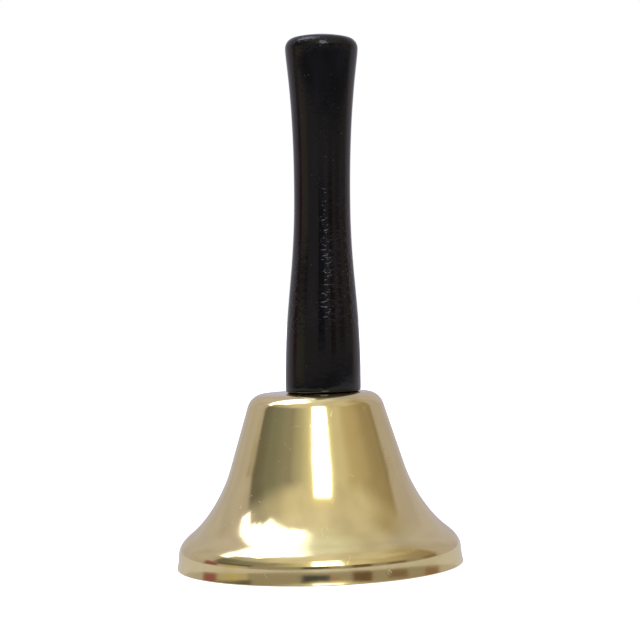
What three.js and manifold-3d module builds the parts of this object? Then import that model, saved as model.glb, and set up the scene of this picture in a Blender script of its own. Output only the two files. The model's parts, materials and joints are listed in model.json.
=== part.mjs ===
// A hand bell: a thin flared brass bell on a turned, black lacquered wooden handle.
//
// It stands on its rim. The origin is the middle of the rim's plane and +Z runs up the bell's axis.
// One wood screw goes up through the crown into the handle and clamps the whole stack: a washer under the
// crown, a bush, and a retaining washer. A U-shaped yoke turns on the bush, and the clapper swings on a
// rivet through the yoke's ears. Sizes are in millimetres and angles in degrees unless a name says otherwise.

import * as THREE from 'three';
import { mergeVertices } from 'three/addons/utils/BufferGeometryUtils.js';
import Module from 'manifold-3d';

// --- Bell ---------------------------------------------------------------------------------------------

const mouthRadius = 40.1;
const lipHeight = 4.9;             // the plain band round the mouth
const lipInset = 0.86;             // how much narrower the band is at its top
const bellHeight = 48.2;           // rim to the top of the crown
const crownRadius = 17.9;          // where the side's line would meet the crown's plane
const sideAngle = 17.3;            // the side's slope from the vertical
const shoulderFillet = 5;
const sideEndHeight = 27;          // the straight side ends here and the flare begins
const flareInset = 4.3;            // the flare ends this far inside the mouth's radius
const flareEndHeight = 9.7;
const flareEndAngle = 51.4;        // the flare's steepest outward slope, from the vertical
const flareEaseTop = 4.5;          // how far each end of the flare holds its direction
const flareEaseBottom = 7.5;
const bowEase = 0.33;              // the same for the bow above the lip, as a share of the bow's span
const wall = 1.2;
const rimEdgeRound = 0.25;

// --- Handle -------------------------------------------------------------------------------------------

const handleLength = 99.3;
const handleBaseRadius = 10.53;
const handleBaseRound = 0.9;
const waistRadius = 7.85;
const waistHeight = 55;            // above the handle's seat
const waistEaseBelow = 23.6;       // how far the outline holds its direction at the waist and at its ends
const waistEaseAbove = 25.9;
const baseEase = 25.7;
const knobEase = 3.3;
const knobRadius = 10.15;          // at the foot of the knob's rounded upper edge
const knobRound = 3;               // the knob's upper edge
const knobDomeRadius = 33;         // the shallow dome on top
const handleOffset = 2.3;          // the pilot hole is off the grip's middle by this much at the seat
const handleLean = 1.45;           // and askew, so the grip leans
const seatGap = 0.2;               // between the crown and the lowest edge of the leaning seat

// --- Screw, washers and bush ---------------------------------------------------------------------------

const screwRadius = 2.25;
const screwLength = 30;            // under the head
const screwPointLength = 5;
const screwHeadRadius = 4;
const screwHeadHeight = 2.6;
const screwHeadRound = 1.5;
const recessWidth = 1.1;           // the head's cross recess
const recessSpan = 4.6;
const recessDepth = 1.5;
const screwClearance = 0.3;        // radial, through the crown, washers and bush
const pilotClearance = 0.3;        // radial and at the tip, in the handle
const crownWasherRadius = 8;
const crownWasherThickness = 1.2;
const bushWall = 0.7;
const retainingWasherRadius = 5;
const retainingWasherThickness = 1;
const washerEdgeRound = 0.25;

// --- Yoke, pin and clapper -----------------------------------------------------------------------------

const yokeThickness = 1.2;
const webMargin = 1.5;             // each side of the hole for the bush
const yokeBend = 0.7;              // inner bend radius
const yokeEndFloat = 0.3;          // how much longer the bush is than the yoke's web is thick
const earClearance = 0.6;          // from the retaining washer to each ear
const runningClearance = 0.1;      // radial: yoke on bush, clapper on pin
const pinRadius = 1.5;
const pinHeadRadius = 2.6;
const pinHeadHeight = 1.1;
const pinHeadRound = 0.9;
const pinHeadClearance = 0.1;      // under each rivet head
const sleeveWall = 1.1;            // the clapper's cross sleeve, which turns on the pin
const sleeveEndFloat = 0.3;        // between the sleeve and each ear
const sleeveHeadroom = 0.8;        // from the sleeve up to the screw's head
const rodRadius = 1.6;
const ballRadius = 7.5;
const clapperRise = 1.3;           // rim's plane up to the clapper's lowest point
const ballBoreClearance = 0.15;
const collarRadius = 2.7;
const collarHeight = 1.4;
const collarRound = 0.5;
const peenRadius = 2.5;
const peenHeight = 0.9;
const peenRound = 0.6;
const ballSeatGap = 0.1;           // above and below the ball

// --- Smoothness ----------------------------------------------------------------------------------------

const bellSides = 60;
const handleSides = 40;
const ballSides = 32;
const smallSides = 24;

// --- Places worked out from the sizes above --------------------------------------------------------------

const radians = THREE.MathUtils.degToRad;
const screwHole = screwRadius + screwClearance;
const crownUnderside = bellHeight - wall;
const bushTop = crownUnderside - crownWasherThickness;
const bushLength = yokeThickness + yokeEndFloat;
const bushRadius = screwHole + bushWall;
const retainingTop = bushTop - bushLength;
const screwSeat = retainingTop - retainingWasherThickness;
const screwHeadBottom = screwSeat - screwHeadHeight;
const webTop = bushTop - yokeEndFloat / 2;
const bushHoleRadius = bushRadius + runningClearance;
const earRadius = bushHoleRadius + webMargin;
const earInner = retainingWasherRadius + earClearance;
const earOuter = earInner + yokeThickness;
const sleeveRadius = pinRadius + runningClearance + sleeveWall;
const sleeveHalfLength = earInner - sleeveEndFloat;
const pivotHeight = screwHeadBottom - sleeveHeadroom - sleeveRadius;
const ballBore = rodRadius + ballBoreClearance;
const boreEndFromMiddle = Math.sqrt(ballRadius ** 2 - ballBore ** 2);
const peenTop = clapperRise + peenHeight;
const ballHeight = peenTop + ballSeatGap + boreEndFromMiddle;
const collarBottom = ballHeight + boreEndFromMiddle + ballSeatGap;
const handleLift = (handleBaseRadius - handleBaseRound) * Math.sin(radians(handleLean));
const handleSeat = bellHeight + seatGap + handleLift;

// --- Shape helpers ---------------------------------------------------------------------------------------

const at = (x, y) => new THREE.Vector2(x, y);

// A unit step down and outward, at an angle from the vertical.
const downhill = (degrees) => at(Math.sin(radians(degrees)), -Math.cos(radians(degrees)));

// The arc that rounds a corner between two straight runs, from the run towards `before` to the other.
function roundCorner(before, corner, after, radius, steps = 3) {
  const towardsBefore = before.clone().sub(corner).normalize();
  const towardsAfter = after.clone().sub(corner).normalize();
  const halfAngle = Math.acos(towardsBefore.dot(towardsAfter)) / 2;
  const bisector = towardsBefore.clone().add(towardsAfter).normalize();
  const centre = corner.clone().addScaledVector(bisector, radius / Math.sin(halfAngle));
  const reach = radius / Math.tan(halfAngle);
  const from = corner.clone().addScaledVector(towardsBefore, reach).sub(centre).angle();
  const to = corner.clone().addScaledVector(towardsAfter, reach).sub(centre).angle();
  const sweep = THREE.MathUtils.euclideanModulo(to - from + Math.PI, 2 * Math.PI) - Math.PI;
  const points = [];
  for (let i = 0; i <= steps; i += 1) {
    const angle = from + (sweep * i) / steps;
    points.push(at(Math.cos(angle), Math.sin(angle)).multiplyScalar(radius).add(centre));
  }
  return points;
}

// An outline from corners given as [x, y] or [x, y, rounding]; the first and last stay sharp.
function outline(corners, steps = 3) {
  return corners.flatMap(([x, y, rounding], i) => {
    if (!rounding) return [at(x, y)];
    const before = at(...corners[i - 1].slice(0, 2));
    const after = at(...corners[i + 1].slice(0, 2));
    return roundCorner(before, at(x, y), after, rounding, steps);
  });
}

// Turned about the Z axis. The outline holds (radius, height) points and runs anticlockwise.
const turned = (points, sides) => new THREE.LatheGeometry(points, sides).rotateX(Math.PI / 2);

// A washer or sleeve with its outer edges rounded.
function ring(innerRadius, outerRadius, bottom, top, rounding) {
  return turned(outline([
    [innerRadius, bottom],
    [outerRadius, bottom, rounding],
    [outerRadius, top, rounding],
    [innerRadius, top],
    [innerRadius, bottom],
  ], 2), smallSides);
}

function rod(radius, bottom, top, sides = smallSides) {
  const cylinder = new THREE.CylinderGeometry(radius, radius, top - bottom, sides);
  return cylinder.rotateX(Math.PI / 2).translate(0, 0, (bottom + top) / 2);
}

// A cylinder that lies along Y at the height of the clapper's pivot.
function crossRod(radius, halfLength) {
  return new THREE.CylinderGeometry(radius, radius, 2 * halfLength, smallSides).translate(0, 0, pivotHeight);
}

// --- Joining and cutting -----------------------------------------------------------------------------------

const wasm = await Module();
wasm.setup();

function solid(geometry) {
  const bare = geometry.clone();
  bare.deleteAttribute('normal');
  bare.deleteAttribute('uv');
  const merged = mergeVertices(bare, 1e-4);
  const corners = merged.index.array;
  const triangles = [];
  for (let i = 0; i < corners.length; i += 3) {
    const [a, b, c] = corners.slice(i, i + 3);
    if (a !== b && b !== c && c !== a) triangles.push(a, b, c);
  }
  return new wasm.Manifold(new wasm.Mesh({
    numProp: 3,
    vertProperties: new Float32Array(merged.attributes.position.array),
    triVerts: new Uint32Array(triangles),
  }));
}

function geometryOf(joined) {
  const { vertProperties, triVerts } = joined.getMesh();
  const geometry = new THREE.BufferGeometry();
  geometry.setAttribute('position', new THREE.BufferAttribute(vertProperties, 3));
  geometry.setIndex(new THREE.BufferAttribute(triVerts, 1));
  geometry.computeVertexNormals();
  return geometry;
}

// --- Pieces ------------------------------------------------------------------------------------------------

// The wall's outer line from the crown to the rim, as curves in (radius, height).
function wallCurves() {
  const side = downhill(sideAngle);
  const flareEnd = downhill(flareEndAngle);
  const lip = at(lipInset, -lipHeight).normalize();
  const tangentLength = shoulderFillet * Math.tan(radians(90 - sideAngle) / 2);
  const arcCentre = at(crownRadius - tangentLength, bellHeight - shoulderFillet);
  const arcEnd = arcCentre.clone().addScaledVector(at(-side.y, side.x), shoulderFillet);
  const sideEnd = at(crownRadius + (bellHeight - sideEndHeight) * Math.tan(radians(sideAngle)), sideEndHeight);
  const bowTop = at(mouthRadius - flareInset, flareEndHeight);
  const lipTop = at(mouthRadius - lipInset, lipHeight);
  const bowHold = bowEase * bowTop.distanceTo(lipTop);
  return [
    { curve: new THREE.EllipseCurve(...arcCentre, shoulderFillet, shoulderFillet,
      Math.PI / 2, radians(sideAngle), true), steps: 5 },
    { curve: new THREE.LineCurve(arcEnd, sideEnd), steps: 1 },
    { curve: new THREE.CubicBezierCurve(
      sideEnd,
      sideEnd.clone().addScaledVector(side, flareEaseTop),
      bowTop.clone().addScaledVector(flareEnd, -flareEaseBottom),
      bowTop), steps: 7 },
    { curve: new THREE.CubicBezierCurve(
      bowTop,
      bowTop.clone().addScaledVector(flareEnd, bowHold),
      lipTop.clone().addScaledVector(lip, -bowHold),
      lipTop), steps: 4 },
    { curve: new THREE.LineCurve(lipTop, at(mouthRadius, 0)), steps: 1 },
  ];
}

// That line, moved into the bell by a depth measured square to the wall.
function wallLine(depth) {
  return wallCurves().flatMap(({ curve, steps }, order) => {
    const points = [];
    for (let i = order === 0 ? 0 : 1; i <= steps; i += 1) {
      const along = curve.getTangent(i / steps);
      points.push(curve.getPoint(i / steps).addScaledVector(at(along.y, -along.x), depth));
    }
    return points;
  });
}

function bellShell() {
  const outer = wallLine(0);
  const inner = wallLine(wall);
  const rimOuter = outer.pop();
  const bandInner = inner.pop();
  const bandSlope = (bandInner.x - inner.at(-1).x) / (bandInner.y - inner.at(-1).y);
  const rimInner = at(bandInner.x - bandInner.y * bandSlope, 0);
  return turned([
    ...roundCorner(inner.at(-1), rimInner, rimOuter, rimEdgeRound),
    ...roundCorner(rimInner, rimOuter, outer.at(-1), rimEdgeRound),
    ...outer.reverse(),
    at(screwHole, bellHeight),
    at(screwHole, crownUnderside),
    ...inner,
    roundCorner(inner.at(-1), rimInner, rimOuter, rimEdgeRound)[0],
  ], bellSides);
}

// The grip's half outline above its seat, from the axis at the bottom to the axis on top.
function handleOutline() {
  // The knob's upper edge meets the side square to the axis, and the dome on the line of their centres.
  const domeCentre = at(0, handleLength - knobDomeRadius);
  const edgeCentre = at(knobRadius - knobRound, 0);
  const rise = Math.sqrt((knobDomeRadius - knobRound) ** 2 - edgeCentre.x ** 2);
  edgeCentre.y = domeCentre.y + rise;
  const domeEdge = Math.atan2(rise, edgeCentre.x);
  const knob = at(knobRadius, edgeCentre.y);
  const waist = at(waistRadius, waistHeight);
  const base = at(handleBaseRadius, handleBaseRound);
  const up = at(0, 1);
  const held = (point, distance) => point.clone().addScaledVector(up, distance);
  const grip = new THREE.CubicBezierCurve(base, held(base, baseEase), held(waist, -waistEaseBelow), waist);
  const neck = new THREE.CubicBezierCurve(waist, held(waist, waistEaseAbove), held(knob, -knobEase), knob);
  const edge = new THREE.EllipseCurve(...edgeCentre, knobRound, knobRound, 0, domeEdge);
  const dome = new THREE.EllipseCurve(...domeCentre, knobDomeRadius, knobDomeRadius, domeEdge, Math.PI / 2);
  return [
    at(0, 0),
    ...roundCorner(at(0, 0), at(handleBaseRadius, 0), base, handleBaseRound),
    ...grip.getPoints(7).slice(1),
    ...neck.getPoints(7).slice(1),
    ...edge.getPoints(4).slice(1),
    ...dome.getPoints(3).slice(1, -1),
    at(0, handleLength),
  ];
}

function handle() {
  const pilotRadius = screwRadius + pilotClearance;
  const pilotTop = screwSeat + screwLength + pilotClearance;
  const grip = turned(handleOutline(), handleSides)
    .rotateY(radians(handleLean))
    .translate(handleOffset, 0, handleSeat);
  return geometryOf(solid(grip).subtract(solid(rod(pilotRadius, bellHeight - wall, pilotTop))));
}

function handleScrew() {
  const tip = screwSeat + screwLength;
  const body = turned(outline([
    [0, screwHeadBottom],
    [screwHeadRadius, screwHeadBottom, screwHeadRound],
    [screwHeadRadius, screwSeat],
    [screwRadius, screwSeat],
    [screwRadius, tip - screwPointLength],
    [0, tip],
  ], 4), smallSides);
  const slot = new THREE.BoxGeometry(recessSpan, recessWidth, 2 * recessDepth).translate(0, 0, screwHeadBottom);
  const across = slot.clone().rotateZ(Math.PI / 2);
  return geometryOf(solid(body).subtract(solid(slot)).subtract(solid(across)));
}

// A strap bent into a U, with each ear's end rounded about the pin.
function clapperYoke() {
  const strapLine = (halfWidth, top, bend) => outline([
    [-halfWidth, 0],
    [-halfWidth, top, bend],
    [halfWidth, top, bend],
    [halfWidth, 0],
  ], 4);
  const section = new THREE.Shape([
    ...strapLine(earOuter, webTop, yokeBend + yokeThickness),
    ...strapLine(earInner, webTop - yokeThickness, yokeBend).reverse(),
  ]);
  // Drawn in the YZ plane and drawn out along X.
  const strap = new THREE.ExtrudeGeometry(section, { depth: 2 * earRadius, bevelEnabled: false })
    .translate(0, 0, -earRadius).rotateX(Math.PI / 2).rotateZ(Math.PI / 2);

  const side = new THREE.Shape();
  side.moveTo(earRadius, webTop + yokeThickness);
  side.lineTo(-earRadius, webTop + yokeThickness);
  side.lineTo(-earRadius, pivotHeight);
  side.absarc(0, pivotHeight, earRadius, Math.PI, 2 * Math.PI);
  const sidePlate = new THREE.ExtrudeGeometry(side, { depth: 4 * earOuter, bevelEnabled: false })
    .translate(0, 0, -2 * earOuter).rotateX(Math.PI / 2);

  const bushHole = rod(bushHoleRadius, webTop - 2 * yokeThickness, webTop + yokeThickness);
  const pinHole = crossRod(pinRadius + runningClearance, 2 * earOuter);
  return geometryOf(solid(strap).intersect(solid(sidePlate)).subtract(solid(bushHole)).subtract(solid(pinHole)));
}

// A rivet along Y with a low round head at each end.
function pivotPin() {
  const headInner = earOuter + pinHeadClearance;
  const headOuter = headInner + pinHeadHeight;
  const end = (sign) => outline([
    [0, sign * headOuter],
    [pinHeadRadius, sign * headOuter, pinHeadRound],
    [pinHeadRadius, sign * headInner],
    [pinRadius, sign * headInner],
  ], 4);
  const points = [...end(-1), ...end(1).reverse()];
  return new THREE.LatheGeometry(points, smallSides).translate(0, 0, pivotHeight);
}

// Cross sleeve, rod, collar and peened end in one piece. The ball is threaded on from below before peening.
function clapperRod() {
  const collarTop = collarBottom + collarHeight;
  const stem = turned(outline([
    [0, clapperRise],
    [peenRadius, clapperRise, peenRound],
    [peenRadius, peenTop],
    [rodRadius, peenTop],
    [rodRadius, collarBottom],
    [collarRadius, collarBottom],
    [collarRadius, collarTop, collarRound],
    [rodRadius, collarTop],
    [rodRadius, pivotHeight],
    [0, pivotHeight],
  ]), smallSides);
  const sleeve = crossRod(sleeveRadius, sleeveHalfLength);
  const pinHole = crossRod(pinRadius + runningClearance, 2 * sleeveHalfLength);
  return geometryOf(solid(stem).add(solid(sleeve)).subtract(solid(pinHole)));
}

function clapperBall() {
  const boreAngle = Math.acos(ballBore / ballRadius);
  const sphere = new THREE.EllipseCurve(0, ballHeight, ballRadius, ballRadius, -boreAngle, boreAngle);
  const points = sphere.getPoints(14);
  return turned([...points, points[0]], ballSides);
}

// --- Finishes and assembly -----------------------------------------------------------------------------------

const finish = (color, roughness, metalness) => new THREE.MeshStandardMaterial({ color, roughness, metalness });

const brass = () => finish(0xd8c48c, 0.12, 1);
const blackLacquer = () => finish(0x1b1a1c, 0.18, 0);
const zincPlate = () => finish(0xb9bcc0, 0.32, 1);
const steel = () => finish(0xa6a6a4, 0.25, 1);

function piece(name, geometry, material) {
  const mesh = new THREE.Mesh(geometry, material);
  mesh.name = name;
  return mesh;
}

const standing = new THREE.Group().add(
  piece('bell_shell', bellShell(), brass()),
  piece('handle', handle(), blackLacquer()),
  piece('handle_screw', handleScrew(), zincPlate()),
  piece('crown_washer', ring(screwHole, crownWasherRadius, bushTop, crownUnderside, washerEdgeRound), zincPlate()),
  piece('swivel_bush', ring(screwHole, bushRadius, retainingTop, bushTop), brass()),
  piece('retaining_washer', ring(screwHole, retainingWasherRadius, screwSeat, retainingTop, washerEdgeRound),
    zincPlate()),
);

const swivelling = new THREE.Group().add(
  piece('clapper_yoke', clapperYoke(), zincPlate()),
  piece('pivot_pin', pivotPin(), steel()),
);

const swinging = new THREE.Group().add(
  piece('clapper_rod', clapperRod(), steel()),
  piece('clapper_ball', clapperBall(), steel()),
);

swivelling.add(swinging);

export default new THREE.Group().add(standing, swivelling);
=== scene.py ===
"""A polished brass hand bell on a turned, black lacquered wooden handle.

The bell is spun from thin sheet brass. A wood screw goes up through its crown into the handle, and under the
crown it carries a washer, a bush and a retaining washer. A bent steel yoke turns on the bush, and the clapper
swings on a rivet through the yoke's ears. Lengths are in metres; MM turns a size in millimetres to metres.
"""

import json
import math

import bmesh
import bpy
from mathutils import Matrix, Vector, noise


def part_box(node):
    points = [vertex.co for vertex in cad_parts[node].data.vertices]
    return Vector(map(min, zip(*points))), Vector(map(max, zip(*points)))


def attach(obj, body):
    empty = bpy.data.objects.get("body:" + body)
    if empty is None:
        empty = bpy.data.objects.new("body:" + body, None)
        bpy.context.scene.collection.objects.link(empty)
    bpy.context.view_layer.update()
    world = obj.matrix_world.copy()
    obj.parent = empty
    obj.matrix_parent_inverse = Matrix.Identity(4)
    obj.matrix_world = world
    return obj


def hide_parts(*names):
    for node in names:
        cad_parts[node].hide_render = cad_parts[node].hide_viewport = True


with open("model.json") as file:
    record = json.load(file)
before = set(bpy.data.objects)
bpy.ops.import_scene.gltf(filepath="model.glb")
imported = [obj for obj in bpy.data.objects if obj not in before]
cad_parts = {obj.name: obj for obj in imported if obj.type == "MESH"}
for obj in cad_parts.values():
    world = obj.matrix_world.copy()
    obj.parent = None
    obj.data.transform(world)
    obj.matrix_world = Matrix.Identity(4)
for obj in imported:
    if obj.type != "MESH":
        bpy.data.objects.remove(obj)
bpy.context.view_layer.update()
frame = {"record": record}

MM = 0.001
joints = {joint["name"]: joint for joint in frame["record"]["behaviour"]["joints"]}


# --- Mesh helpers -------------------------------------------------------------------------------------------


def bezier(start, hold_start, hold_end, end, steps):
    """Points along a cubic curve, without its first."""
    points = []
    for i in range(1, steps + 1):
        t = i / steps
        s = 1 - t
        points.append(start * s**3 + hold_start * (3 * s * s * t) + hold_end * (3 * s * t * t) + end * t**3)
    return points


def arc(centre, radius, start, end, steps):
    """Points round a circle from one angle to another, both included."""
    angles = [start + (end - start) * i / steps for i in range(steps + 1)]
    return [centre + Vector((math.cos(a), math.sin(a))) * radius for a in angles]


def rounded(corners, steps=5):
    """An outline from corners (x, y) or (x, y, rounding); the first and last stay sharp."""
    points = []
    for i, corner in enumerate(corners):
        here = Vector(corner[:2])
        if len(corner) == 2:
            points.append(here)
            continue
        before = (Vector(corners[i - 1][:2]) - here).normalized()
        after = (Vector(corners[i + 1][:2]) - here).normalized()
        half = before.angle(after) / 2
        radius = corner[2]
        centre = here + (before + after).normalized() * (radius / math.sin(half))
        spoke = here + before * (radius / math.tan(half)) - centre
        turn = math.pi - 2 * half
        if before.cross(after) > 0:
            turn = -turn
        for k in range(steps + 1):
            points.append(centre + Matrix.Rotation(turn * k / steps, 2) @ spoke)
    return points


def mesh_from(name, vertices, faces):
    """A mesh from its corners and faces."""
    mesh = bpy.data.meshes.new(name)
    mesh.from_pydata([tuple(v) for v in vertices], [], faces)
    mesh.validate()
    return mesh


def revolve(name, outline, sides, swell=None):
    """Turns an outline of (radius, height) about Z. It runs anticlockwise, closed on itself or on the axis.

    swell(radius, angle, height) gives how far a point is moved outward.
    """
    vertices, rings = [], []
    on_itself = (outline[0] - outline[-1]).length < 1e-9
    points = outline[:-1] if on_itself else outline
    for radius, height in points:
        if radius < 1e-9:
            rings.append([len(vertices)] * sides)
            vertices.append((0, 0, height))
            continue
        rings.append(range(len(vertices), len(vertices) + sides))
        for i in range(sides):
            angle = 2 * math.pi * i / sides
            r = radius + (swell(radius, angle, height) if swell else 0)
            vertices.append((r * math.cos(angle), r * math.sin(angle), height))
    if on_itself:
        rings.append(rings[0])
    faces = []
    for low, high in zip(rings, rings[1:]):
        for i in range(sides):
            j = (i + 1) % sides
            corners = [low[i], low[j], high[j], high[i]]
            face = [c for k, c in enumerate(corners) if c != corners[k - 1]]
            faces.append(face)
    return mesh_from(name, vertices, faces)


def ring_outline(inner, outer, bottom, top, rounding, inner_rounding=None):
    """The closed outline of a washer or sleeve."""
    inside = rounding if inner_rounding is None else inner_rounding
    middle = (inner + outer) / 2
    return rounded(
        [
            (middle, bottom),
            (outer, bottom, rounding),
            (outer, top, rounding),
            (inner, top, inside),
            (inner, bottom, inside),
            (middle, bottom),
        ]
    )


def combine(mesh, other, how):
    """Joins (UNION) or cuts (DIFFERENCE) one closed mesh with another."""
    holders = [bpy.data.objects.new("working", m) for m in (mesh, other)]
    for holder in holders:
        bpy.context.scene.collection.objects.link(holder)
    step = holders[0].modifiers.new("combine", "BOOLEAN")
    step.operation, step.object, step.solver = how, holders[1], "EXACT"
    shaped = holders[0].evaluated_get(bpy.context.evaluated_depsgraph_get())
    result = bpy.data.meshes.new_from_object(shaped)
    name, mesh.name = mesh.name, "worked"
    result.name = name
    for holder in holders:
        bpy.data.objects.remove(holder)
    return result


def show(mesh, materials, body, slot, *stands_for):
    """Puts a piece in the scene: its finish, the body it moves with and the CAD nodes it stands for."""
    mesh.shade_smooth()
    mesh.set_sharp_from_angle(angle=math.radians(38))
    for material in materials:
        mesh.materials.append(material)
    piece = bpy.data.objects.new(mesh.name, mesh)
    bpy.context.scene.collection.objects.link(piece)
    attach(piece, body)
    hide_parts(*stands_for)
    return piece


# --- Material helpers ---------------------------------------------------------------------------------------

# A Map Range node's inputs 1 to 4 are the ends of the first and second ranges, the second from 0 to 1 unless
# given. A Mix node's inputs are 0 for the amount, and 6 and 7 for two colours.
EASED = {"interpolation_type": "SMOOTHSTEP"}
COLOURS = {"data_type": "RGBA"}


def colour(hex_code):
    """An sRGB hex colour as linear red, green, blue and alpha."""
    channels = [int(hex_code[i : i + 2], 16) / 255 for i in (1, 3, 5)]
    return [c / 12.92 if c <= 0.04045 else ((c + 0.055) / 1.055) ** 2.4 for c in channels] + [1]


def add(tree, kind, inputs=None, **settings):
    """Adds a node with its settings, and values or links for its inputs; a node links by its first output."""
    made = tree.nodes.new(kind)
    for name, value in settings.items():
        setattr(made, name, value)
    for name, value in (inputs or {}).items():
        if isinstance(value, bpy.types.Node):
            value = next(output for output in value.outputs if output.enabled)
        if isinstance(value, bpy.types.NodeSocket):
            tree.links.new(value, made.inputs[name])
        else:
            made.inputs[name].default_value = value
    return made


def new_material(name):
    """An empty material, its nodes and each point's place in the object's own space."""
    material = bpy.data.materials.new(name)
    material.use_nodes = True
    tree = material.node_tree
    tree.nodes.clear()
    return material, tree, add(tree, "ShaderNodeTexCoord").outputs["Object"]


def surface(tree, inputs):
    """Ends a material with its surface shader."""
    shader = add(tree, "ShaderNodeBsdfPrincipled", inputs)
    add(tree, "ShaderNodeOutputMaterial", {"Surface": shader})


def grains(tree, place, size, detail=2.0, stretch=(1, 1, 1)):
    """Soft mottling whose patches are about `size` across, drawn out along an axis by a stretch under 1."""
    scaled = add(tree, "ShaderNodeMapping", {"Vector": place, "Scale": [s / size for s in stretch]})
    inputs = {"Vector": scaled, "Scale": 1.0, "Detail": detail, "Roughness": 0.55}
    return add(tree, "ShaderNodeTexNoise", inputs)


def lathe_place(tree, place):
    """A point's distance from the axis and its height, so that lines run round a turned piece."""
    split = add(tree, "ShaderNodeSeparateXYZ", {"Vector": place})
    flat = add(tree, "ShaderNodeCombineXYZ", {"X": split.outputs["X"], "Y": split.outputs["Y"]})
    radius = add(tree, "ShaderNodeVectorMath", {0: flat}, operation="LENGTH")
    return add(tree, "ShaderNodeCombineXYZ", {"X": radius, "Z": split.outputs["Z"]})


# --- Materials ----------------------------------------------------------------------------------------------


def polished_brass():
    """Spun sheet brass, mop polished: a pale gold mirror, faintly wavy, with hazy patches and some scratches.

    Real scratches are a few hundredths of a millimetre wide; these are drawn wider than that, to show.
    """
    material, tree, place = new_material("polished_brass")
    rings = grains(tree, lathe_place(tree, place), 0.35 * MM, 3)
    haze = grains(tree, place, 9 * MM, 3)
    elsewhere = add(tree, "ShaderNodeVectorMath", {0: place, 1: (0.031, 0.007, 0.012)}, operation="ADD")
    hair = grains(tree, elsewhere, 3.5 * MM, 1, (1, 1, 0.7))
    off_line = add(tree, "ShaderNodeMath", {0: hair, 1: 0.5}, operation="SUBTRACT")
    off_line = add(tree, "ShaderNodeMath", {0: off_line}, operation="ABSOLUTE")
    line = add(tree, "ShaderNodeMapRange", {"Value": off_line, 1: 0.003, 2: 0.012, 3: 1, 4: 0}, **EASED)
    handled = grains(tree, elsewhere, 4.5 * MM, 3)
    handled = add(tree, "ShaderNodeMapRange", {"Value": handled, 1: 0.58, 2: 0.66}, **EASED)
    scratch = add(tree, "ShaderNodeMath", {0: line, 1: handled}, operation="MULTIPLY")
    fingered = add(tree, "ShaderNodeMapRange", {"Value": haze, 1: 0.45, 2: 0.7, 3: 0, 4: 0.35}, **EASED)
    tint = add(tree, "ShaderNodeMix", {0: fingered, 6: colour("#F5E4AF"), 7: colour("#EBD79A")}, **COLOURS)
    gloss = add(tree, "ShaderNodeMapRange", {"Value": haze, 1: 0.35, 2: 0.7, 3: 0.09, 4: 0.14}, **EASED)
    rough = add(tree, "ShaderNodeMath", {0: scratch, 1: 0.3, 2: gloss}, operation="MULTIPLY_ADD")
    bumps = None
    for height, depth in (
        (grains(tree, place, 8 * MM, 1), 0.03 * MM),
        (grains(tree, place, 2.2 * MM, 2), 0.006 * MM),
        (rings, 0.0006 * MM),
        (scratch, -0.006 * MM),
    ):
        under = {"Normal": bumps} if bumps else {}
        bumps = add(tree, "ShaderNodeBump", {"Height": height, "Distance": depth, "Strength": 1.0, **under})
    surface(tree, {"Metallic": 1, "Base Color": tint, "Roughness": rough, "Normal": bumps})
    return material


def worked_metal(tree, tones, share, gloss, marks, depth):
    """Gives a metal two tones, by the share of the second, a roughness and the marks that its making left."""
    tint = add(tree, "ShaderNodeMix", {0: share, 6: colour(tones[0]), 7: colour(tones[1])}, **COLOURS)
    bumps = add(tree, "ShaderNodeBump", {"Height": marks, "Distance": depth, "Strength": 1.0})
    surface(tree, {"Metallic": 1, "Base Color": tint, "Roughness": gloss, "Normal": bumps})


def spun_brass():
    """The bell's unpolished inside: duller, warmer brass with the spinning tool's rings."""
    material, tree, place = new_material("spun_brass")
    rings = grains(tree, lathe_place(tree, place), 0.8 * MM, 4)
    stain = grains(tree, place, 14 * MM, 4)
    share = add(tree, "ShaderNodeMapRange", {"Value": stain, 1: 0.4, 2: 0.7}, **EASED)
    gloss = add(tree, "ShaderNodeMapRange", {"Value": stain, 1: 0.3, 2: 0.7, 3: 0.3, 4: 0.42}, **EASED)
    worked_metal(tree, ("#DCC384", "#B99A5E"), share, gloss, rings, 0.01 * MM)
    return material


# The lacquer is pitted most where the hand holds it, and scuffed on the knob: heights above the table.
GRIPPED_FROM = (60 * MM, 70 * MM)
GRIPPED_TO = (95 * MM, 112 * MM)
SCUFFED_FROM = (141 * MM, 145 * MM)


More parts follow.
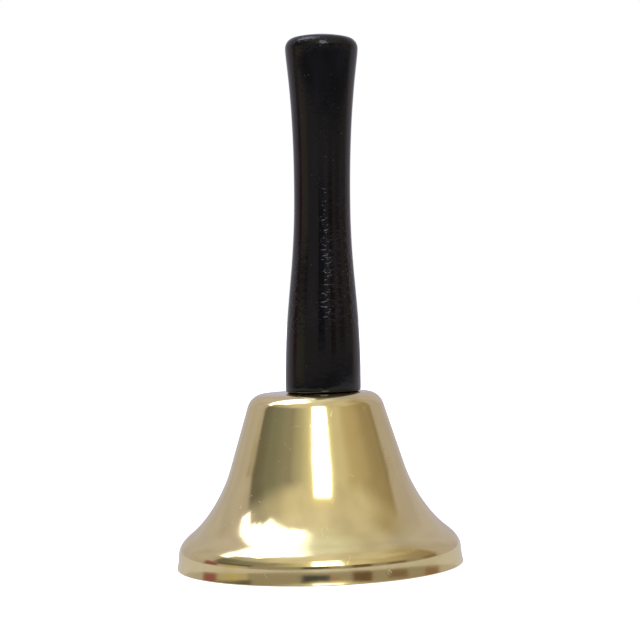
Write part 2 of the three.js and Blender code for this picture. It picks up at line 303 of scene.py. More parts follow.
def black_lacquer():
    """Hardwood, turned, stained black and lacquered: a hard gloss, with highlights broken by pores and grit.

    Real pores are about 0.1 mm across; these are drawn a few times larger, to show. The IOR is a little under
    lacquer's 1.5, matched to how dark the handle is.
    """
    material, tree, place = new_material("black_lacquer")
    pores = grains(tree, place, 0.9 * MM, 1, (0.6, 0.6, 1))
    pores = add(tree, "ShaderNodeMapRange", {"Value": pores, 1: 0.5, 2: 0.66}, **EASED)
    patches = grains(tree, place, 10 * MM, 2, (1, 1, 0.3))
    patches = add(tree, "ShaderNodeMapRange", {"Value": patches, 1: 0.4, 2: 0.56, 3: 0.1, 4: 1}, **EASED)
    height = add(tree, "ShaderNodeSeparateXYZ", {"Vector": place}).outputs["Z"]
    (low, high), (top_low, top_high), (knob_low, knob_high) = GRIPPED_FROM, GRIPPED_TO, SCUFFED_FROM
    gripped = add(tree, "ShaderNodeMapRange", {"Value": height, 1: low, 2: high}, **EASED)
    above = {"Value": height, 1: top_low, 2: top_high, 3: 1, 4: 0.12}
    above = add(tree, "ShaderNodeMapRange", above, **EASED)
    scuffed = {"Value": height, 1: knob_low, 2: knob_high, 4: 0.7}
    scuffed = add(tree, "ShaderNodeMapRange", scuffed, **EASED)
    patches = add(tree, "ShaderNodeMath", {0: patches, 1: gripped}, operation="MULTIPLY")
    patches = add(tree, "ShaderNodeMath", {0: patches, 1: above}, operation="MULTIPLY")
    patches = add(tree, "ShaderNodeMath", {0: patches, 1: scuffed}, operation="MAXIMUM")
    pitted = add(tree, "ShaderNodeMath", {0: pores, 1: patches}, operation="MULTIPLY")
    peel = grains(tree, place, 1.8 * MM, 1)
    spread = {"Vector": place, "Scale": 1 / (2.6 * MM), "Randomness": 1.0}
    specks = add(tree, "ShaderNodeTexVoronoi", spread, feature="F1").outputs["Distance"]
    dust = add(tree, "ShaderNodeMapRange", {"Value": specks, 1: 0.03, 2: 0.06, 3: 1, 4: 0}, **EASED)
    worn = grains(tree, place, 5 * MM, 4, (1, 1, 0.3))
    faded = add(tree, "ShaderNodeMapRange", {"Value": worn, 1: 0.4, 2: 0.75}, **EASED)
    stain = add(tree, "ShaderNodeMix", {0: faded, 6: colour("#07070A"), 7: colour("#0D0D12")}, **COLOURS)
    tint = add(tree, "ShaderNodeMix", {0: dust, 6: stain, 7: colour("#4A4644")}, **COLOURS)
    gloss = add(tree, "ShaderNodeMapRange", {"Value": worn, 1: 0.35, 2: 0.75, 3: 0.07, 4: 0.13}, **EASED)
    coat = add(tree, "ShaderNodeBump", {"Height": peel, "Distance": 0.02 * MM, "Strength": 1.0})
    pits = {"Height": pitted, "Distance": 0.05 * MM, "Strength": 1.0, "Normal": coat}
    bumps = add(tree, "ShaderNodeBump", pits)
    surface(tree, {"Base Color": tint, "Roughness": gloss, "IOR": 1.44, "Normal": bumps})
    return material


def zinc_plate():
    """Pressed steel with bright zinc plating: pale, faintly blue and a little cloudy."""
    material, tree, place = new_material("zinc_plate")
    cloud = grains(tree, place, 2.5 * MM, 4)
    grit = grains(tree, place, 0.25 * MM, 2)
    share = add(tree, "ShaderNodeMapRange", {"Value": cloud, 1: 0.35, 2: 0.7}, **EASED)
    gloss = add(tree, "ShaderNodeMapRange", {"Value": cloud, 1: 0.3, 2: 0.7, 3: 0.24, 4: 0.38}, **EASED)
    worked_metal(tree, ("#D3D8DC", "#B4B8B6"), share, gloss, grit, 0.004 * MM)
    return material


def turned_brass():
    """Free-cutting brass straight off the lathe, with the tool's fine lines."""
    material, tree, place = new_material("turned_brass")
    lines = grains(tree, lathe_place(tree, place), 0.15 * MM, 2)
    cloud = grains(tree, place, 3 * MM, 3)
    gloss = add(tree, "ShaderNodeMapRange", {"Value": cloud, 1: 0.3, 2: 0.7, 3: 0.2, 4: 0.3}, **EASED)
    worked_metal(tree, ("#E9CF8A", "#D2B36E"), cloud, gloss, lines, 0.006 * MM)
    return material


def bright_steel():
    """Plain turned steel, lightly oiled: grey, glossy, with short turning marks and a few darker spots."""
    material, tree, place = new_material("bright_steel")
    marks = grains(tree, place, 0.3 * MM, 3, (1, 1, 2.5))
    spots = grains(tree, place, 1.8 * MM, 4)
    spots = add(tree, "ShaderNodeMapRange", {"Value": spots, 1: 0.58, 2: 0.72, 4: 0.6}, **EASED)
    gloss = add(tree, "ShaderNodeMapRange", {"Value": marks, 1: 0.3, 2: 0.7, 3: 0.16, 4: 0.28}, **EASED)
    worked_metal(tree, ("#CFCDC8", "#8F8A82"), spots, gloss, marks, 0.003 * MM)
    return material


# --- Bell wall ----------------------------------------------------------------------------------------------

WALL = 1.2 * MM
LIP_HEIGHT = 4.3 * MM
LIP_INSET = 0.62 * MM
LIP_TOP_ANGLE = math.radians(3)
LIP_END_ANGLE = math.radians(14)
CROWN_RADIUS = 17.9 * MM
SIDE_ANGLE = math.radians(17.3)
SHOULDER_FILLET = 5 * MM
SIDE_END_HEIGHT = 27 * MM
FLARE_INSET = 4.3 * MM
FLARE_END_HEIGHT = 9.7 * MM
FLARE_END_ANGLE = math.radians(51.4)
FLARE_EASE_TOP = 4.5 * MM
FLARE_EASE_BOTTOM = 7.5 * MM
BOW_EASE = 0.36
LIP_EASE = 1.6 * MM
RIM_ROUND = 0.4 * MM
WALL_SIDES = 256
SPUN_DEPTH = 0.012 * MM
SPUN_WAVE = 11 * MM
BUSH_WALL = 0.7 * MM
SCREW_HOLE_MOST = 2.55 * MM

shell_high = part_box("bell_shell")[1]
screw_low, screw_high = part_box("handle_screw")
mouth_radius = shell_high.x
bell_height = shell_high.z
screw_hole = min(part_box("swivel_bush")[1].x - BUSH_WALL, SCREW_HOLE_MOST)


def downhill(angle):
    """A unit step down and outward, at an angle from the vertical."""
    return Vector((math.sin(angle), -math.cos(angle)))


def wall_line():
    """The wall's outer line in (radius, height), from the crown's edge to just above the rim."""
    side, flare_end = downhill(SIDE_ANGLE), downhill(FLARE_END_ANGLE)
    lip = downhill(LIP_TOP_ANGLE)
    reach = SHOULDER_FILLET * math.tan((math.pi / 2 - SIDE_ANGLE) / 2)
    centre = Vector((CROWN_RADIUS - reach, bell_height - SHOULDER_FILLET))
    side_reach = (bell_height - SIDE_END_HEIGHT) * math.tan(SIDE_ANGLE)
    side_end = Vector((CROWN_RADIUS + side_reach, SIDE_END_HEIGHT))
    bow_top = Vector((mouth_radius - FLARE_INSET, FLARE_END_HEIGHT))
    lip_top = Vector((mouth_radius - LIP_INSET, LIP_HEIGHT))
    rim = Vector((mouth_radius, 0))
    bow_hold = BOW_EASE * (lip_top - bow_top).length
    shoulder = arc(centre, SHOULDER_FILLET, math.pi / 2, SIDE_ANGLE, 24)
    line = shoulder + [shoulder[-1].lerp(side_end, i / 24) for i in range(1, 25)]
    line += bezier(
        side_end, side_end + side * FLARE_EASE_TOP, bow_top - flare_end * FLARE_EASE_BOTTOM, bow_top, 48
    )
    line += bezier(bow_top, bow_top + flare_end * bow_hold, lip_top - lip * bow_hold, lip_top, 24)
    line += bezier(lip_top, lip_top + lip * LIP_EASE, rim - downhill(LIP_END_ANGLE) * LIP_EASE, rim, 16)
    return line[:-1]


def inward(line, depth):
    """The line moved into the bell, square to itself."""
    moved = []
    for i, point in enumerate(line):
        along = (line[min(i + 1, len(line) - 1)] - line[max(i - 1, 0)]).normalized()
        moved.append(point + Vector((along.y, -along.x)) * depth)
    return moved


def hand_spun(radius, angle, height):
    """The slight waviness that spinning and polishing leave."""
    around = Vector((math.cos(angle), math.sin(angle), 0)) * radius
    stiff_rim = min(1, height / LIP_HEIGHT)
    return SPUN_DEPTH * stiff_rim * noise.noise((around + Vector((0, 0, height))) / SPUN_WAVE)


def bell_wall():
    """The whole wall, with its second material on the inside."""
    outer = wall_line()
    inner = inward(outer, WALL)
    slope = (inner[-1].x - inner[-2].x) / (inner[-1].y - inner[-2].y)
    rim_inner = inner[-1].x - inner[-1].y * slope
    rim = rounded(
        [tuple(inner[-1]), (rim_inner, 0, RIM_ROUND), (mouth_radius, 0, RIM_ROUND), tuple(outer[-1])], 6
    )
    flat_steps = 6
    crown_width = outer[0].x - screw_hole
    crown = [Vector((screw_hole + crown_width * i / flat_steps, bell_height)) for i in range(flat_steps)]
    under = [Vector((p.x, bell_height - WALL)) for p in crown]
    outline = rim + outer[-2::-1] + crown[::-1] + under + inner[:-1] + [rim[0]]
    mesh = revolve("bell_wall", outline, WALL_SIDES, hand_spun)
    inside_from = len(rim) + len(outer) - 1 + flat_steps
    for polygon in mesh.polygons:
        if polygon.index // WALL_SIDES >= inside_from:
            polygon.material_index = 1
    return mesh


# --- Handle -------------------------------------------------------------------------------------------------

HANDLE_LENGTH = 99.27 * MM
HANDLE_BASE_RADIUS = 10.53 * MM
HANDLE_BASE_ROUND = 0.9 * MM
WAIST_RADIUS = 7.85 * MM
WAIST_HEIGHT = 55 * MM
WAIST_EASE_BELOW = 23.6 * MM
WAIST_EASE_ABOVE = 25.9 * MM
BASE_EASE = 25.7 * MM
KNOB_EASE = 3.3 * MM
KNOB_RADIUS = 10.15 * MM
KNOB_ROUND = 3 * MM
KNOB_DOME_RADIUS = 33 * MM
HANDLE_OFFSET = 2.3 * MM
HANDLE_LEAN = math.radians(1.45)
SEAT_GAP = 0.2 * MM
FOOT_FITTED = 14 * MM
COAT_DEPTH = 0.02 * MM
COAT_RIPPLE = 5 * MM
PILOT_CLEARANCE = 0.3 * MM
FOOT_CLEARANCE = 0.02 * MM


def grip_outline():
    """The grip's outline in (radius, height): foot, waist, knob and dome."""
    dome_centre = Vector((0, HANDLE_LENGTH - KNOB_DOME_RADIUS))
    edge_across = KNOB_RADIUS - KNOB_ROUND
    rise = math.sqrt((KNOB_DOME_RADIUS - KNOB_ROUND) ** 2 - edge_across**2)
    edge_centre = Vector((edge_across, dome_centre.y + rise))
    dome_edge = math.atan2(rise, edge_across)
    base = Vector((HANDLE_BASE_RADIUS, HANDLE_BASE_ROUND))
    waist = Vector((WAIST_RADIUS, WAIST_HEIGHT))
    knob = Vector((KNOB_RADIUS, edge_centre.y))
    up = Vector((0, 1))
    foot = rounded([(0, 0), (HANDLE_BASE_RADIUS, 0, HANDLE_BASE_ROUND), (HANDLE_BASE_RADIUS, BASE_EASE)], 8)
    line = foot[:-1]
    line += bezier(base, base + up * BASE_EASE, waist - up * WAIST_EASE_BELOW, waist, 60)
    line += bezier(waist, waist + up * WAIST_EASE_ABOVE, knob - up * KNOB_EASE, knob, 50)
    line += arc(edge_centre, KNOB_ROUND, 0, dome_edge, 14)[1:]
    line += arc(dome_centre, KNOB_DOME_RADIUS, dome_edge, math.pi / 2, 10)[1:-1]
    return line + [Vector((0, HANDLE_LENGTH))]


def brushed_coat(radius, angle, height):
    """Low ripples where the turning and the lacquer are uneven."""
    around = Vector((math.cos(angle), math.sin(angle), 0)) * radius
    return -COAT_DEPTH * abs(noise.noise((around + Vector((0, 0, height * 0.5))) / COAT_RIPPLE))


def turned_grip():
    """The leaning handle, its foot faced off to sit flat on the crown."""
    mesh = revolve("turned_grip", grip_outline(), 128, brushed_coat)
    lift = (HANDLE_BASE_RADIUS - HANDLE_BASE_ROUND) * math.sin(HANDLE_LEAN)
    seat = Matrix.Translation((HANDLE_OFFSET, 0, bell_height + SEAT_GAP + lift))
    place = seat @ Matrix.Rotation(HANDLE_LEAN, 4, "Y")
    for vertex in mesh.vertices:
        up = vertex.co.z
        vertex.co = place @ vertex.co
        fitted = max(0, 1 - up / FOOT_FITTED)
        vertex.co.z += (bell_height + FOOT_CLEARANCE + up - vertex.co.z) * fitted
    pilot_top = screw_high.z + PILOT_CLEARANCE
    pilot = rounded(
        [
            (0, bell_height - WALL),
            (screw_hole, bell_height - WALL),
            (screw_hole, pilot_top - screw_hole),
            (0, pilot_top),
        ]
    )
    return combine(mesh, revolve("pilot", pilot, 48), "DIFFERENCE")


# --- Screw, washers and bush --------------------------------------------------------------------------------

SCREW_HEAD_HEIGHT = 2.6 * MM
SCREW_HEAD_ROUND = 1.5 * MM
SCREW_RADIUS = 2.25 * MM
SCREW_CORE = 1.55 * MM
SCREW_PLAIN = 8 * MM
THREAD_PITCH = 1.8 * MM
SCREW_POINT = 5 * MM
RECESS_SPAN = 4.6 * MM
RECESS_WIDTH = 1.1 * MM
RECESS_DEPTH = 1.5 * MM
RECESS_TAPER = 0.72
THREAD_HALF_WIDTH = 0.22
THREAD_STEPS = 14


def wood_screw():
    """Pan head, plain neck and a helical thread that runs out to a gimlet point."""
    seat = screw_low.z + SCREW_HEAD_HEIGHT
    head_radius = screw_high.x
    head = rounded(
        [
            (0, screw_low.z),
            (head_radius, screw_low.z, SCREW_HEAD_ROUND),
            (head_radius, seat, 0.15 * MM),
            (SCREW_RADIUS, seat),
            (SCREW_RADIUS, seat + SCREW_PLAIN),
        ]
    )
    thread_start = seat + SCREW_PLAIN
    steps = int((screw_high.z - thread_start) / THREAD_PITCH * THREAD_STEPS)
    rise = (screw_high.z - thread_start) / steps
    thread = [Vector((SCREW_CORE, thread_start + rise * i)) for i in range(1, steps)]
    outline = head + thread + [Vector((0, screw_high.z))]

    def ridge(radius, angle, height):
        if height <= thread_start:
            return 0
        turn = (height / THREAD_PITCH - angle / (2 * math.pi)) % 1
        crest = max(0, 1 - abs(turn - 0.5) / THREAD_HALF_WIDTH)
        point = min(1, (screw_high.z - height) / SCREW_POINT)
        fade_in = min(1, (height - thread_start) / THREAD_PITCH)
        full = (SCREW_RADIUS - SCREW_CORE) * crest * fade_in
        return (radius + full) * point**0.8 - radius

    mesh = revolve("wood_screw", outline, 48, ridge)
    for turn in (0, math.pi / 2):
        half = RECESS_WIDTH / 2
        long_half = RECESS_SPAN / 2
        depth = screw_low.z + RECESS_DEPTH
        corners = [
            Vector((x * long_half * k, y * half * k, z))
            for z, k in ((screw_low.z - MM, 1), (depth, RECESS_TAPER))
            for x, y in ((-1, -1), (1, -1), (1, 1), (-1, 1))
        ]
        faces = [(3, 2, 1, 0), (4, 5, 6, 7)]
        faces += [(i, (i + 1) % 4, (i + 1) % 4 + 4, i + 4) for i in range(4)]
        slot = mesh_from("slot", corners, faces)
        slot.transform(Matrix.Rotation(turn, 4, "Z"))
        mesh = combine(mesh, slot, "DIFFERENCE")
    return mesh


def washer(name, node):
    """A punched washer: well rounded outside, where the sheet was drawn in, and crisp in its hole."""
    low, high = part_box(node)
    return revolve(name, ring_outline(screw_hole, high.x, low.z, high.z, 0.25 * MM, 0.08 * MM), 96)


def bush():
    """The short sleeve that the yoke turns on."""
    low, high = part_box("swivel_bush")
    return revolve("bush", ring_outline(screw_hole, high.x, low.z, high.z, 0.06 * MM), 96)


# --- Yoke and rivet -----------------------------------------------------------------------------------------

STRAP_THICKNESS = 1.2 * MM
STRAP_BEND = 0.7 * MM
STRAP_EDGE = 0.12 * MM
BEND_STEPS = 12
RUNNING_CLEARANCE = 0.1 * MM
PIN_RADIUS = 1.5 * MM
PIN_HEAD_HEIGHT = 1.1 * MM
PIN_HEAD_ROUND = 0.9 * MM

yoke_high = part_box("clapper_yoke")[1]
pin_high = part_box("pivot_pin")[1]
pivot = Vector(joints["clapper_swing"]["pos_m"])


def flat_blank(half_length, end_radius, holes):
    """The strap before bending: a flat bar with round ends and holes, lying along X."""
    curve = bpy.data.curves.new("blank", "CURVE")
    curve.dimensions, curve.fill_mode = "2D", "BOTH"
    curve.extrude = STRAP_THICKNESS / 2 - STRAP_EDGE
    curve.bevel_depth, curve.bevel_resolution, curve.offset = STRAP_EDGE, 2, -STRAP_EDGE
    end = half_length - end_radius
    outline = arc(Vector((end, 0)), end_radius, -math.pi / 2, math.pi / 2, 32)
    outline += arc(Vector((-end, 0)), end_radius, math.pi / 2, 3 * math.pi / 2, 32)
    loops = [outline] + [arc(Vector((x, 0)), r, 0, -2 * math.pi, 48)[:-1] for x, r in holes]
    for loop in loops:
        spline = curve.splines.new("POLY")
        spline.points.add(len(loop) - 1)
        for point, place in zip(spline.points, loop):
            point.co = (place.x, place.y, 0, 1)
        spline.use_cyclic_u = True
    holder = bpy.data.objects.new("blank", curve)
    bpy.context.scene.collection.objects.link(holder)
    shaped = holder.evaluated_get(bpy.context.evaluated_depsgraph_get())
    mesh = bpy.data.meshes.new_from_object(shaped)
    bpy.data.objects.remove(holder)
    return mesh


def bent_yoke():
    """Bends the blank into a U whose ears hang down, with its width along X."""
    half = STRAP_THICKNESS / 2
    ear_radius = yoke_high.x
    line_bend = STRAP_BEND + half
    web_half = yoke_high.y - STRAP_THICKNESS - STRAP_BEND
    bend_length = line_bend * math.pi / 2
    bend_height = yoke_high.z - half - line_bend
    pin_at = web_half + bend_length + bend_height - pivot.z
    hole = PIN_RADIUS + RUNNING_CLEARANCE
    bush_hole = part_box("swivel_bush")[1].x + RUNNING_CLEARANCE
    mesh = flat_blank(pin_at + ear_radius, ear_radius, [(0, bush_hole), (pin_at, hole), (-pin_at, hole)])
    work = bmesh.new()
    work.from_mesh(mesh)
    bmesh.ops.remove_doubles(work, verts=work.verts, dist=1e-6)
    for side in (-1, 1):
        for i in range(BEND_STEPS + 1):
            cut = side * (web_half + bend_length * i / BEND_STEPS)
            whole = work.verts[:] + work.edges[:] + work.faces[:]
            bmesh.ops.bisect_plane(work, geom=whole, plane_co=(cut, 0, 0), plane_no=(1, 0, 0))
    for vertex in work.verts:
        along, across, out = vertex.co
        side, reach = math.copysign(1, along), abs(along)
        turn = min(max(reach - web_half, 0) / line_bend, math.pi / 2)
        past = max(reach - web_half - bend_length, 0)
        y = min(reach, web_half) + (line_bend + out) * math.sin(turn)
        z = bend_height + (line_bend + out) * math.cos(turn) - past
        vertex.co = (-across, side * y, z)
    bmesh.ops.triangulate(work, faces=[f for f in work.faces if len(f.verts) > 4])
    bmesh.ops.recalc_face_normals(work, faces=work.faces)
    bent = bpy.data.meshes.new("bent_yoke")
    work.to_mesh(bent)
    work.free()
    return bent


def across_bell(mesh):
    """Lays a piece turned about Z along Y, at the height of the clapper's pivot."""
    mesh.transform(Matrix.Translation(pivot) @ Matrix.Rotation(-math.pi / 2, 4, "X"))
    return mesh


def rivet():
    """A shank with a domed head at each end."""
    end, inner = pin_high.y, pin_high.y - PIN_HEAD_HEIGHT
    head_radius = pin_high.x
    outline = rounded(
        [
            (0, -end),
            (head_radius, -end, PIN_HEAD_ROUND),
            (head_radius, -inner, 0.08 * MM),
            (PIN_RADIUS, -inner),
            (PIN_RADIUS, inner),
            (head_radius, inner, 0.08 * MM),
            (head_radius, end, PIN_HEAD_ROUND),
            (0, end),
        ]
    )
    return across_bell(revolve("rivet", outline, 64))


# --- Clapper ------------------------------------------------------------------------------------------------

ROD_RADIUS = 1.6 * MM
COLLAR_HEIGHT = 1.4 * MM
COLLAR_ROUND = 0.5 * MM
COLLAR_RADIUS = 2.7 * MM
PEEN_RADIUS = 2.5 * MM
PEEN_HEIGHT = 0.9 * MM
PEEN_ROUND = 0.6 * MM
BALL_BORE_CLEARANCE = 0.15 * MM
BALL_SEAT_GAP = 0.1 * MM
BALL_RADIUS = 7.5 * MM
BRAZE = 0.9 * MM

rod_low, rod_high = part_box("clapper_rod")
ball_low, ball_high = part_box("clapper_ball")


def clapper_rod():
    """Stem, collar and peened end, brazed to the cross sleeve that turns on the rivet."""
    collar_bottom = ball_high.z + BALL_SEAT_GAP
    collar_top = collar_bottom + COLLAR_HEIGHT
    peen_top = rod_low.z + PEEN_HEIGHT
    sleeve_radius = rod_high.z - pivot.z
    stem = rounded(
        [
            (0, rod_low.z),
            (PEEN_RADIUS, rod_low.z, PEEN_ROUND),
            (PEEN_RADIUS, peen_top, 0.1 * MM),
            (ROD_RADIUS, peen_top),
            (ROD_RADIUS, collar_bottom),
            (COLLAR_RADIUS, collar_bottom, 0.15 * MM),
            (COLLAR_RADIUS, collar_top, COLLAR_ROUND),
            (ROD_RADIUS, collar_top, 0.4 * MM),
            (ROD_RADIUS, pivot.z - sleeve_radius - 0.2 * MM, BRAZE),
            (ROD_RADIUS + 1.1 * MM, pivot.z - sleeve_radius + 0.9 * MM),
            (0, pivot.z - sleeve_radius + 0.9 * MM),
        ]
    )
    sleeve_end = rod_high.y
    bore = PIN_RADIUS + RUNNING_CLEARANCE
    sleeve = across_bell(
        revolve("sleeve", ring_outline(bore, sleeve_radius, -sleeve_end, sleeve_end, 0.2 * MM, 0.08 * MM), 64)
    )
    return combine(revolve("clapper_stem", stem, 64), sleeve, "UNION")


def clapper_ball():
    """A ball with a hole through it, slightly broken at both edges."""
    middle = (ball_low.z + ball_high.z) / 2
    bore = ROD_RADIUS + BALL_BORE_CLEARANCE
    edge = math.acos((bore + 0.15 * MM) / BALL_RADIUS)
    outline = [
        Vector((BALL_RADIUS * math.cos(a), middle + BALL_RADIUS * math.sin(a)))
        for a in (edge * (i / 48 - 1) for i in range(97))
    ]
    top = outline[-1].y - 0.12 * MM
    outline += [Vector((bore, top)), Vector((bore, 2 * middle - top)), outline[0]]
    return revolve("striking_ball", outline, 128)


# --- Assembly -----------------------------------------------------------------------------------------------

brass_outside, brass_inside = polished_brass(), spun_brass()
lacquer, zinc, lathe_brass, steel = black_lacquer(), zinc_plate(), turned_brass(), bright_steel()

show(bell_wall(), [brass_outside, brass_inside], "bell", "polished_brass", "bell_shell")
show(turned_grip(), [lacquer], "bell", "black_lacquer", "handle")
show(wood_screw(), [zinc], "bell", "zinc_plate", "handle_screw")
show(washer("broad_washer", "crown_washer"), [zinc], "bell", "zinc_plate", "crown_washer")
show(washer("small_washer", "retaining_washer"), [zinc], "bell", "zinc_plate", "retaining_washer")
show(bush(), [lathe_brass], "bell", "turned_brass", "swivel_bush")
show(bent_yoke(), [zinc], "yoke", "zinc_plate", "clapper_yoke")
show(rivet(), [steel], "yoke", "bright_steel", "pivot_pin")
show(clapper_rod(), [steel], "clapper", "bright_steel", "clapper_rod")
show(clapper_ball(), [steel], "clapper", "bright_steel", "clapper_ball")


# --- Floor, light and camera --------------------------------------------------------------------------------


def sheet(name, low, high, height, shine, glow):
    """A flat staged sheet between two corners. It is clear from below, so the bell can be seen from there."""
    corners = [(low[0], low[1]), (high[0], low[1]), (high[0], high[1]), (low[0], high[1])]
    mesh = mesh_from(name, [(x, y, height) for x, y in corners], [(0, 1, 2, 3)])
    material, tree = new_material(name)[:2]
    lit = {"Roughness": 0.6, "Emission Color": colour("#F4F2FA"), "Emission Strength": glow}
    shader = add(tree, "ShaderNodeBsdfPrincipled", {"Base Color": colour(shine), **lit})
    clear = add(tree, "ShaderNodeBsdfTransparent")
    back = add(tree, "ShaderNodeNewGeometry").outputs["Backfacing"]
    sided = add(tree, "ShaderNodeMixShader", {0: back, 1: shader, 2: clear})
    add(tree, "ShaderNodeOutputMaterial", {"Surface": sided})
    mesh.materials.append(material)
    made = bpy.data.objects.new(name, mesh)
    bpy.context.scene.collection.objects.link(made)
    return made


def table():
    """A white table, lit so evenly that it hardly shows a shadow, and the dimmer one the brass mirrors."""
    top = sheet("table_top", (-4, -4), (4, 4), 0, "#F4F4F4", 0.8)
    top.visible_glossy = False
    mirrored = sheet("mirrored_table_top", (-0.8, -0.45), (0.8, 1.2), -0.1 * MM, "#000000", 0.55)
    mirrored.visible_camera = mirrored.visible_diffuse = mirrored.visible_shadow = False


def box_mask(tree, across, up, centre, half, soft):
    """1 inside a soft-edged box of directions, 0 outside it."""
    sides = []
    for value, middle, reach in zip((across, up), centre, half):
        off = add(tree, "ShaderNodeMath", {0: value, 1: middle}, operation="SUBTRACT")
        off = add(tree, "ShaderNodeMath", {0: off}, operation="ABSOLUTE")
        edge = {"Value": off, 1: reach - soft, 2: reach + soft, 3: 1, 4: 0}
        sides.append(add(tree, "ShaderNodeMapRange", edge, **EASED))
    return add(tree, "ShaderNodeMath", {0: sides[0], 1: sides[1]}, operation="MULTIPLY")


def round_the_room(tree, azimuth, stops):
    """A colour for each direction of the compass; 0 is where the camera stands and 90 is to its right."""
    spread = add(tree, "ShaderNodeMapRange", {"Value": azimuth, 1: -180.0, 2: 180.0})
    ramp = add(tree, "ShaderNodeValToRGB", {"Fac": spread})
    elements = ramp.color_ramp.elements
    for i, (angle, shade) in enumerate(stops):
        place = (angle + 180) / 360
        stop = elements[i] if i < 2 else elements.new(place)
        stop.position = place
        stop.color = (*shade, 1)
    return ramp


# What stands round the bell, by azimuth in degrees, in linear colours.
WALLS = [
    (-180, (0.5, 0.48, 0.57)),
    (-101, (0.46, 0.43, 0.42)),
    (-96, (0.14, 0.13, 0.12)),
    (-70, (0.22, 0.23, 0.2)),
    (-39, (0.3, 0.285, 0.25)),
    (-13, (0.66, 0.64, 0.5)),
    (26, (0.7, 0.66, 0.54)),
    (52, (0.5, 0.43, 0.3)),
    (105, (0.28, 0.23, 0.16)),
    (110, (0.46, 0.42, 0.43)),
    (179, (0.5, 0.48, 0.57)),
]
UPPER_WALLS = [
    (-180, (0.5, 0.47, 0.55)),
    (-100, (0.54, 0.5, 0.53)),
    (-84, (0.4, 0.38, 0.35)),
    (-40, (0.64, 0.6, 0.5)),
    (0, (0.72, 0.66, 0.56)),
    (30, (0.6, 0.55, 0.46)),
    (68, (0.63, 0.58, 0.48)),
    (98, (0.42, 0.36, 0.25)),
    (125, (0.48, 0.45, 0.46)),
    (179, (0.5, 0.47, 0.55)),
]
# Each thing's middle and half size in azimuth and height, in degrees, and its linear colour.
THINGS_LOW_DOWN = [
    ((-99, 7), (7, 6), (0.28, 0.1, 0.12, 1)),
    ((-75, 13), (18, 5), (0.13, 0.12, 0.1, 1)),
    ((-75, 4), (15, 5), (0.46, 0.4, 0.29, 1)),
    ((-74, 4), (5, 5), (0.48, 0.43, 0.22, 1)),
    ((-4, 9), (11, 6), (0.05, 0.06, 0.07, 1)),
    ((11, 10), (3, 3), (0.34, 0.2, 0.14, 1)),
    ((33, 8), (8, 7), (0.14, 0.09, 0.06, 1)),
    ((64, 6), (9, 5), (0.2, 0.14, 0.1, 1)),
    ((99, 7), (8, 5), (0.25, 0.16, 0.1, 1)),
]
# Each pane's middle and half size, as slopes sideways and towards the back.
SKYLIGHT_PANES = [
    ((-1.03, 0.27), (0.25, 0.12)),
    ((-0.6, 0.2), (0.33, 0.15)),
    ((-0.5, 0.12), (0.36, 0.18)),
    ((-0.395, 0.045), (0.375, 0.305)),
    ((-0.25, 0.0), (0.1, 0.3)),
]
# The window and the glow round it, as middle and half size in degrees, then colours; over 1 is a light.
WINDOW_MIDDLE, WINDOW_HALF = (6, 31.5), (12.3, 14.5)
GLOW_MIDDLE, GLOW_HALF = (6, 33), (17, 18)
WINDOW_LIGHT = (3.6, 3.7, 4.2, 1)
SKYLIGHT_LIGHT = (2.7, 2.85, 3.3, 1)
GLOW_LIGHT = (0.8, 0.74, 0.45, 1)
CEILING_LEFT = (0.7, 0.67, 0.6, 1)
CEILING_RIGHT = (0.58, 0.54, 0.47, 1)
CEILING_BEHIND = (0.5, 0.47, 0.53, 1)
CEILING_OVERHEAD = (0.75, 0.78, 0.76, 1)
LOW_DOWN = (0.31, 0.28, 0.24, 1)
BELOW = (0.12, 0.11, 0.1, 1)


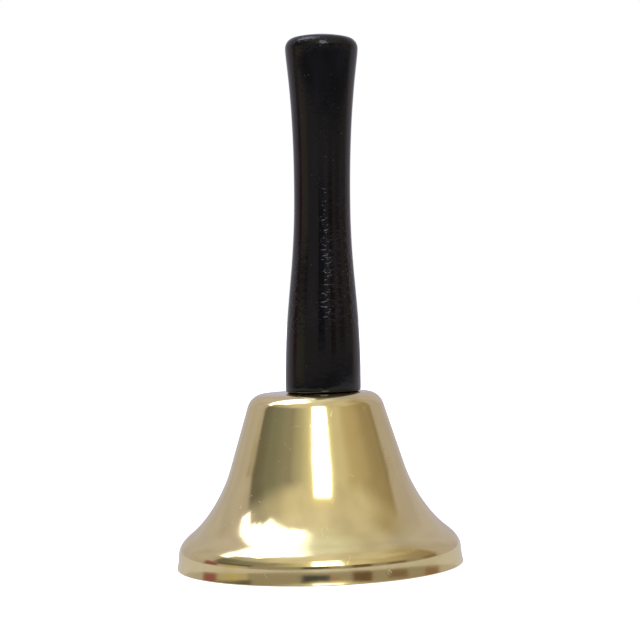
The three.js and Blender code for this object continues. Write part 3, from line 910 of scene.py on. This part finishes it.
def studio():
    """What the bell mirrors: pale paper behind, a room in front, a window to the front and a skylight."""
    world = bpy.data.worlds.new("studio")
    bpy.context.scene.world = world
    world.use_nodes = True
    tree = world.node_tree
    tree.nodes.clear()
    way = add(tree, "ShaderNodeTexCoord").outputs["Generated"]
    split = add(tree, "ShaderNodeSeparateXYZ", {"Vector": way})
    x, y, z = (split.outputs[axis] for axis in "XYZ")
    toward = add(tree, "ShaderNodeMath", {0: y, 1: -1.0}, operation="MULTIPLY")
    turn = add(tree, "ShaderNodeMath", {0: x, 1: toward}, operation="ARCTAN2")
    azimuth = add(tree, "ShaderNodeMath", {0: turn}, operation="DEGREES")
    lift = add(tree, "ShaderNodeMath", {0: z}, operation="ARCSINE")
    height = add(tree, "ShaderNodeMath", {0: lift}, operation="DEGREES")
    aside = add(tree, "ShaderNodeMath", {0: azimuth}, operation="ABSOLUTE")

    # The walls up to 30 degrees, the walls above 44 degrees and the ceiling, each fading into the next.
    light = round_the_room(tree, azimuth, WALLS)
    upper = round_the_room(tree, azimuth, UPPER_WALLS)
    high = add(tree, "ShaderNodeMapRange", {"Value": height, 1: 30, 2: 44}, **EASED)
    light = add(tree, "ShaderNodeMix", {0: high, 6: light, 7: upper}, **COLOURS)
    right = add(tree, "ShaderNodeMapRange", {"Value": azimuth, 1: 0, 2: 60}, **EASED)
    ceiling = add(tree, "ShaderNodeMix", {0: right, 6: CEILING_LEFT, 7: CEILING_RIGHT}, **COLOURS)
    behind = add(tree, "ShaderNodeMapRange", {"Value": aside, 1: 100, 2: 140}, **EASED)
    ceiling = add(tree, "ShaderNodeMix", {0: behind, 6: ceiling, 7: CEILING_BEHIND}, **COLOURS)
    overhead = add(tree, "ShaderNodeMapRange", {"Value": height, 1: 66, 2: 86}, **EASED)
    ceiling = add(tree, "ShaderNodeMix", {0: overhead, 6: ceiling, 7: CEILING_OVERHEAD}, **COLOURS)
    high = add(tree, "ShaderNodeMapRange", {"Value": height, 1: 50, 2: 60}, **EASED)
    light = add(tree, "ShaderNodeMix", {0: high, 6: light, 7: ceiling}, **COLOURS)

    # Furniture and clutter make the walls uneven: drawn as soft upright patches.
    shifted = add(tree, "ShaderNodeMapping", {"Vector": way, "Scale": (4, 4, 2)})
    clutter = add(tree, "ShaderNodeTexNoise", {"Vector": shifted, "Scale": 1.0, "Detail": 2.0})
    uneven = add(tree, "ShaderNodeMapRange", {"Value": clutter, 1: 0.3, 2: 0.7, 3: 0.93, 4: 1.07}, **EASED)
    light = add(tree, "ShaderNodeVectorMath", {0: light, "Scale": uneven}, operation="SCALE")

    # Low down the room is dim, with a few things that stand near the table.
    low = add(tree, "ShaderNodeMapRange", {"Value": height, 1: 14, 2: 17, 3: 1, 4: 0}, **EASED)
    before = add(tree, "ShaderNodeMapRange", {"Value": aside, 1: 106, 2: 110, 3: 1, 4: 0}, **EASED)
    low_down = add(tree, "ShaderNodeMath", {0: low, 1: before}, operation="MULTIPLY")
    light = add(tree, "ShaderNodeMix", {0: low_down, 6: light, 7: LOW_DOWN}, **COLOURS)
    for centre, half, shade in THINGS_LOW_DOWN:
        thing = box_mask(tree, azimuth, height, centre, half, 2)
        light = add(tree, "ShaderNodeMix", {0: thing, 6: light, 7: shade}, **COLOURS)
    low = add(tree, "ShaderNodeMapRange", {"Value": height, 1: -3, 2: 0, 3: 1, 4: 0}, **EASED)
    before = add(tree, "ShaderNodeMapRange", {"Value": aside, 1: 95, 2: 110, 3: 1, 4: 0}, **EASED)
    below = add(tree, "ShaderNodeMath", {0: low, 1: before}, operation="MULTIPLY")
    light = add(tree, "ShaderNodeMix", {0: below, 6: light, 7: BELOW}, **COLOURS)

    glow = box_mask(tree, azimuth, height, GLOW_MIDDLE, GLOW_HALF, 5)
    light = add(tree, "ShaderNodeMix", {0: glow, 6: light, 7: GLOW_LIGHT}, **COLOURS)
    window = box_mask(tree, azimuth, height, WINDOW_MIDDLE, WINDOW_HALF, 1.5)
    light = add(tree, "ShaderNodeMix", {0: window, 6: light, 7: WINDOW_LIGHT}, **COLOURS)

    # The skylight lies in the ceiling's plane, so it is placed by slopes: sideways and towards the back.
    safe = add(tree, "ShaderNodeMath", {0: z, 1: 0.05}, operation="MAXIMUM")
    sideways = add(tree, "ShaderNodeMath", {0: x, 1: safe}, operation="DIVIDE")
    backward = add(tree, "ShaderNodeMath", {0: y, 1: safe}, operation="DIVIDE")
    lumps = add(tree, "ShaderNodeMapRange", {"Value": clutter, 1: 0.3, 2: 0.7, 3: -0.01, 4: 0.01}, **EASED)
    backward = add(tree, "ShaderNodeMath", {0: backward, 1: lumps}, operation="ADD")
    skylight = 0.0
    for centre, half in SKYLIGHT_PANES:
        pane = box_mask(tree, sideways, backward, centre, half, 0.035)
        skylight = add(tree, "ShaderNodeMath", {0: skylight, 1: pane}, operation="MAXIMUM")
    fading = add(tree, "ShaderNodeMapRange", {"Value": sideways, 1: -0.26, 2: -0.02, 3: 1, 4: 0}, **EASED)
    skylight = add(tree, "ShaderNodeMath", {0: skylight, 1: fading}, operation="MULTIPLY")
    light = add(tree, "ShaderNodeMix", {0: skylight, 6: light, 7: SKYLIGHT_LIGHT}, **COLOURS)

    seen = add(tree, "ShaderNodeBackground", {"Color": (1, 1, 1, 1), "Strength": 1.0})
    lit = add(tree, "ShaderNodeBackground", {"Color": light, "Strength": 1.0})
    camera_ray = add(tree, "ShaderNodeLightPath").outputs["Is Camera Ray"]
    sky = add(tree, "ShaderNodeMixShader", {0: camera_ray, 1: lit, 2: seen})
    add(tree, "ShaderNodeOutputWorld", {"Surface": sky})
    world.cycles.sampling_method = "MANUAL"
    world.cycles.sample_map_resolution = 1024


CAMERA_PLACE = (0, -0.52, 0.0761)
CAMERA_LENS, CAMERA_SENSOR = 104.6, 36
CAMERA_ROLL, CAMERA_PAN, CAMERA_TILT = math.radians(-1.78), math.radians(-0.247), math.radians(-0.848)


def camera():
    """Level with the middle of the bell's side, with the horizon a little off true."""
    data = bpy.data.cameras.new("camera")
    data.lens, data.sensor_width = CAMERA_LENS, CAMERA_SENSOR
    data.clip_start, data.clip_end = 0.01, 20
    eye = bpy.data.objects.new("camera", data)
    bpy.context.scene.collection.objects.link(eye)
    level = Matrix.Rotation(math.radians(90), 4, "X")
    roll = Matrix.Rotation(CAMERA_ROLL, 4, "Z")
    pan = Matrix.Rotation(CAMERA_PAN, 4, "Y")
    tilt = Matrix.Rotation(CAMERA_TILT, 4, "X")
    eye.matrix_world = Matrix.Translation(CAMERA_PLACE) @ level @ roll @ pan @ tilt
    bpy.context.scene.camera = eye


table()
studio()
camera()
bpy.context.scene.view_settings.view_transform = "Standard"
